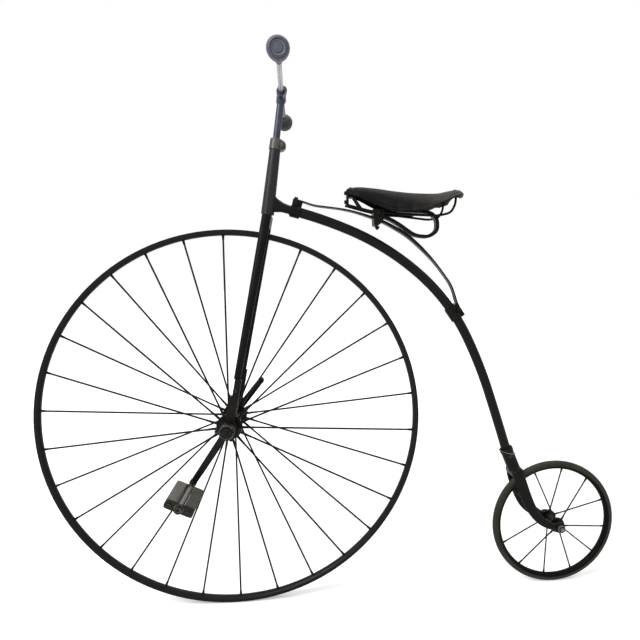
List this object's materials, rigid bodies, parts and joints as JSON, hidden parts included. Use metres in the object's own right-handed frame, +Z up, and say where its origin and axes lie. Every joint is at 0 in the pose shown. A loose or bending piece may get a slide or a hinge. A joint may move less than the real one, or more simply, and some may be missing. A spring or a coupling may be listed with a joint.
{
  "type": "penny farthing bicycle",
  "caption": "High-wheel bicycle with a large wire-spoked front wheel driven by cranks, a small trailing wheel, a curved backbone, a leaf-sprung leather saddle and pear-shaped grips.",
  "frame": {"origin": "middle of the seat: the top of the saddle leather on the centre plane, where the rider sits", "axes": "+X to the rear of the machine, +Y to the rider's right, +Z up; both wheels touch the level ground below"},
  "size_m": [1.4267, 0.513, 1.25],
  "materials": {
    "black_enamel": "worn satin black enamel on steel, brown where it is thin",
    "wheel_enamel": "worn black enamel on rolled steel",
    "spoke_steel": "darkened steel wire with light rust",
    "hub_steel": "darkened steel, bright where it is rubbed",
    "spring_steel": "blackened spring steel, worn at the edges",
    "bar_steel": "dull grey steel",
    "grip_rubber": "hard grey-black rubber, smooth",
    "pedal_steel": "worn steel, bright on the barrel",
    "pedal_rubber": "old grey-black rubber",
    "front_tyre_rubber": "smooth solid black rubber",
    "rear_tyre_rubber": "old solid rubber, olive brown with dust",
    "saddle_hide": "thick black saddle leather, brown where it is rubbed"
  },
  "bodies": {
    "frame": {"backbone": "black_enamel", "neck": "black_enamel", "head_tube": "black_enamel", "head_clip": "black_enamel", "front_spring_clamp": "black_enamel", "leaf_spring": "spring_steel", "rear_spring_clip": "black_enamel", "saddle_clamp": "spring_steel", "c_spring": "spring_steel", "saddle_bridge": "spring_steel", "saddle_rail_left": "spring_steel", "saddle_rail_right": "spring_steel", "saddle_nose": "spring_steel", "saddle_leather": "saddle_hide", "rear_socket": "black_enamel", "rear_leg_left": "black_enamel", "rear_leg_right": "black_enamel", "rear_axle": "hub_steel"},
    "steering": {"fork_crown": "black_enamel", "steering_post": "bar_steel", "fork_blade_left": "black_enamel", "fork_blade_right": "black_enamel", "fork_end_left": "black_enamel", "fork_end_right": "black_enamel", "handlebar_lug": "bar_steel", "handlebar": "bar_steel", "grip_left": "grip_rubber", "grip_right": "grip_rubber"},
    "front_wheel": {"front_rim": "wheel_enamel", "front_tyre": "front_tyre_rubber", "front_hub": "hub_steel", "front_spokes_left": "spoke_steel", "front_spokes_right": "spoke_steel", "front_axle": "hub_steel", "crank_left": "hub_steel", "crank_right": "hub_steel", "pedal_pin": "pedal_steel"},
    "pedal": {"pedal_frame": "pedal_steel", "pedal_block_front": "pedal_rubber", "pedal_block_rear": "pedal_rubber"},
    "rear_wheel": {"rear_rim": "wheel_enamel", "rear_tyre": "rear_tyre_rubber", "rear_hub": "hub_steel", "rear_spokes_left": "spoke_steel", "rear_spokes_right": "spoke_steel"}
  },
  "joints": [
    {"name": "steering_turn", "type": "hinge", "parent": "frame", "child": "steering", "pos_m": [-0.35031, 0, -0.06673], "axis": [0.1449, 0, 0.9895], "range_deg": [-90, 90]},
    {"name": "front_wheel_spin", "type": "hinge", "parent": "steering", "child": "front_wheel", "pos_m": [-0.44616, 0, -0.5391], "axis": [0, 1, 0], "continuous": true},
    {"name": "pedal_spin", "type": "hinge", "parent": "front_wheel", "child": "pedal", "pos_m": [-0.53177, -0.15921, -0.66229], "axis": [0.0893, 0.9877, 0.1285], "continuous": true},
    {"name": "rear_wheel_spin", "type": "hinge", "parent": "frame", "child": "rear_wheel", "pos_m": [0.36366, 0, -0.8361], "axis": [0, 1, 0], "continuous": true}
  ]
}
